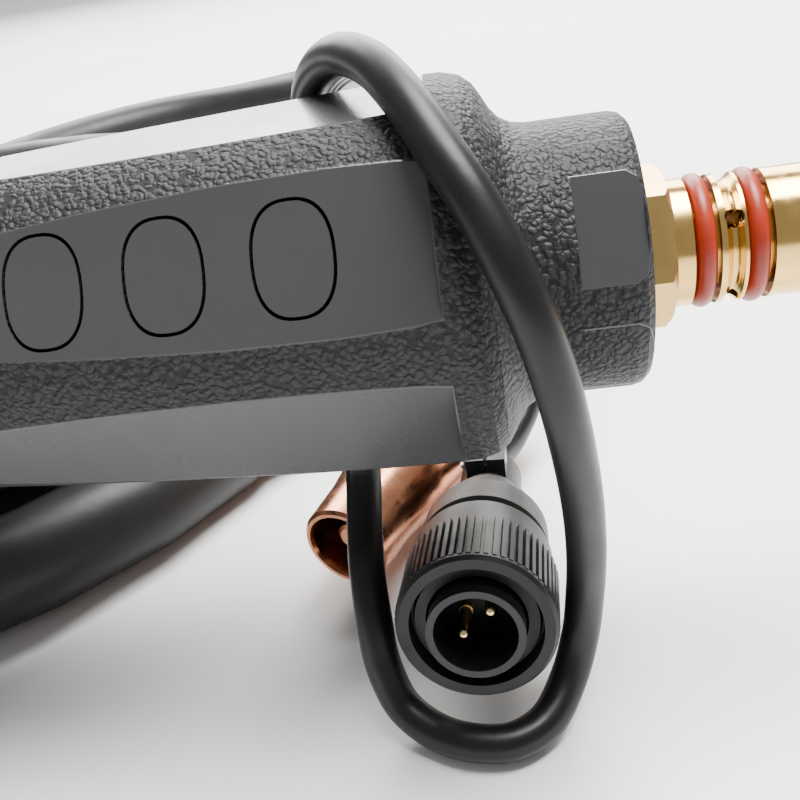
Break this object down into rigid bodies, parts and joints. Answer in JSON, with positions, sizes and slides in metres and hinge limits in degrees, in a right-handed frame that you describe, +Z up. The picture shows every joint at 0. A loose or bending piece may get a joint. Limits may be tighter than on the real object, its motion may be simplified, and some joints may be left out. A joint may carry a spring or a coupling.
{
  "type": "mig welding torch",
  "caption": "MIG welding torch with a ribbed-grip machine connector, power pin, control lead and plug, coiled cable, handle, swan neck and nozzle.",
  "frame": {"origin": "middle of the power pin's plain barrel, on the pin's axis", "axes": "+X out of the pin's tip along the connector's axis, +Z up, the coil lies on z = -61 mm, the handle and neck lie towards +Y"},
  "size_m": [0.3263, 0.3738, 0.0912],
  "materials": {
    "shell_plastic": "leather grain on the ridges, smooth flats",
    "black_plastic": "fine texture",
    "plug_plastic": "fine knurl",
    "brass": "turned",
    "copper": "drawn copper, slightly dulled",
    "steel": "zinc plated",
    "black_rubber": "moulded",
    "jacket": "smooth cable jacket",
    "red_rubber": "smooth",
    "red_plastic": "moulded",
    "insulator": "glass-filled",
    "strap": "hook-and-loop"
  },
  "bodies": {
    "torch": {"housing_front": "shell_plastic", "housing_back": "shell_plastic", "housing_screws": "steel", "port_plugs": "shell_plastic", "power_pin": "brass", "pin_lock_nut": "brass", "o_ring_inner": "red_rubber", "o_ring_outer": "red_rubber", "wire_liner": "steel", "liner_collar": "brass", "pin_ferrule": "copper", "cable_end_rear": "jacket", "rear_boot": "black_rubber", "lead_grommet": "black_rubber", "lead_splices": "red_plastic", "control_lead": "jacket", "plug_body": "plug_plastic", "plug_insert": "black_plastic", "plug_pins": "brass", "plug_clamp": "plug_plastic", "plug_clamp_screws": "steel", "main_cable_rear": "jacket", "main_cable_coil": "jacket", "main_cable_torch": "jacket", "coil_ties": "strap", "handle_left": "shell_plastic", "handle_right": "shell_plastic", "handle_screws": "steel", "handle_boot": "black_rubber", "cable_end_torch": "jacket", "neck_ferrule": "copper", "trigger_pin": "steel", "micro_switch": "black_plastic", "neck_nut": "black_plastic", "neck_cover": "black_plastic", "neck_tube": "copper", "neck_collar": "brass", "gas_diffuser": "brass", "nozzle_insulator": "insulator", "nozzle_spring": "steel"},
    "trigger": {"trigger": "black_plastic"},
    "button": {"switch_button": "red_plastic"},
    "ring": {"plug_ring": "plug_plastic"},
    "nozzle": {"nozzle": "copper"},
    "tip": {"contact_tip": "copper"}
  },
  "joints": [
    {"name": "trigger_press", "type": "hinge", "parent": "torch", "child": "trigger", "pos_m": [-0.06422, 0.14696, -0.0444], "axis": [-0.0159, 0.0425, -0.999], "range_deg": [0, 5], "stiffness_Nm_per_rad": 0.6, "springref_deg": -3.44},
    {"name": "button_push", "type": "slide", "parent": "torch", "child": "button", "axis": [0.9367, 0.3502, 0], "range_m": [0, 0.0019]},
    {"name": "ring_turn", "type": "hinge", "parent": "torch", "child": "ring", "pos_m": [-0.05219, -0.01491, -0.04304], "axis": [-0.0687, -0.9824, 0.1736], "range_deg": [0, 120]},
    {"name": "nozzle_pull", "type": "slide", "parent": "torch", "child": "nozzle", "axis": [-0.4149, -0.9093, -0.0321], "range_m": [0, 0.028]},
    {"name": "tip_turn", "type": "hinge", "parent": "torch", "child": "tip", "pos_m": [-0.06391, 0.03162, -0.04931], "axis": [-0.4149, -0.9093, -0.0321], "range_deg": [0, 360]}
  ],
  "couplings": [
    {"joint": "button_push", "follows": "trigger_press", "m_per_rad": 0.0215}
  ]
}
